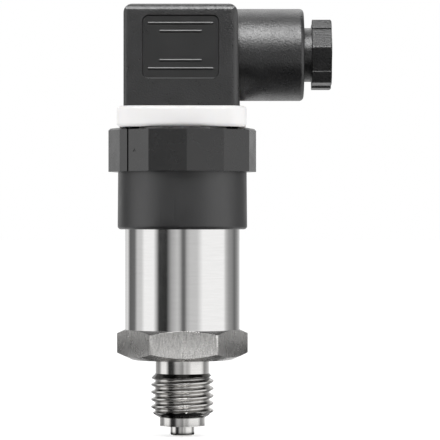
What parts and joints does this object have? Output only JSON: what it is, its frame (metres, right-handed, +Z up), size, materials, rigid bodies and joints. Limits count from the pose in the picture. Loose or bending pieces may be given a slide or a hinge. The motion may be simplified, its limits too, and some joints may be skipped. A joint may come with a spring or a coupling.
{
  "type": "pressure transmitter",
  "caption": "Pressure transmitter with a male threaded gauge-style port, steel case, many-sided plastic union nut, white profile gasket and a right-angle valve-type plug with cable gland.",
  "frame": {"origin": "on the port's axis at the shoulder round the centring spigot, which is the sealing face", "axes": "+Z up the case away from the process, +X along the cable gland, -Y towards the panel side"},
  "size_m": [0.0467, 0.031, 0.09],
  "materials": {
    "port_steel": "fine turned and milled stainless steel",
    "tube_steel": "polished stainless steel",
    "black_plastic": "finely grained black polyamide",
    "nut_plastic": "smooth black polyamide with a satin sheen",
    "gasket_silicone": "milky white silicone",
    "seal_rubber": "black nitrile rubber",
    "cell_ceramic": "unglazed alumina",
    "carrier_plastic": "dark grey moulded plastic",
    "board_laminate": "green glass laminate",
    "component_plastic": "black component casings",
    "contact_metal": "tinned brass",
    "bush_brass": "turned brass",
    "screw_steel": "bright zinc-plated steel"
  },
  "bodies": {
    "case": {"pressure_port": "port_steel", "case_tube": "tube_steel", "cell_seal": "seal_rubber", "sensor_cell": "cell_ceramic", "cell_ring": "port_steel", "board_carrier": "carrier_plastic", "circuit_board": "board_laminate", "board_components": "component_plastic", "board_header": "component_plastic", "connection_board": "board_laminate", "socket_base": "black_plastic", "socket_o_ring": "seal_rubber", "contact_pin_1": "contact_metal", "contact_pin_2": "contact_metal", "contact_pin_3": "contact_metal", "earth_pin": "contact_metal", "screw_bush": "bush_brass", "profile_gasket": "gasket_silicone"},
    "slip_ring": {"slip_ring": "tube_steel"},
    "union_nut": {"union_nut": "nut_plastic"},
    "plug": {"plug_housing": "black_plastic", "contact_insert": "carrier_plastic", "female_contact_1": "contact_metal", "female_contact_2": "contact_metal", "female_contact_3": "contact_metal", "earth_contact": "contact_metal", "terminal_screws": "screw_steel", "screw_o_ring": "seal_rubber", "cable_grommet": "seal_rubber"},
    "fixing_screw": {"fixing_screw": "screw_steel"},
    "gland_washer": {"gland_washer": "carrier_plastic"},
    "gland_nut": {"gland_nut": "black_plastic"}
  },
  "joints": [
    {"name": "slip_ring_slide", "type": "slide", "parent": "case", "child": "slip_ring", "axis": [0, 0, -1], "range_m": [0, 0.006]},
    {"name": "union_nut_turn", "type": "hinge", "parent": "slip_ring", "child": "union_nut", "pos_m": [0, 0, 0.05], "axis": [0, 0, -1], "range_deg": [0, 1440]},
    {"name": "plug_lift", "type": "slide", "parent": "case", "child": "plug", "axis": [0, 0, 1], "range_m": [0, 0.02]},
    {"name": "fixing_screw_turn", "type": "hinge", "parent": "plug", "child": "fixing_screw", "pos_m": [0, 0, 0.08], "axis": [0, 0, 1], "continuous": true},
    {"name": "gland_washer_slide", "type": "slide", "parent": "plug", "child": "gland_washer", "axis": [1, 0, 0], "range_m": [0, 0.00381]},
    {"name": "gland_nut_turn", "type": "hinge", "parent": "gland_washer", "child": "gland_nut", "pos_m": [0.029, 0, 0.0778], "axis": [1, 0, 0], "range_deg": [0, 1080]}
  ],
  "couplings": [
    {"joint": "union_nut_turn", "follows": "slip_ring_slide", "rad_per_m": 4188.8},
    {"joint": "gland_nut_turn", "follows": "gland_washer_slide", "rad_per_m": 4947.4}
  ]
}
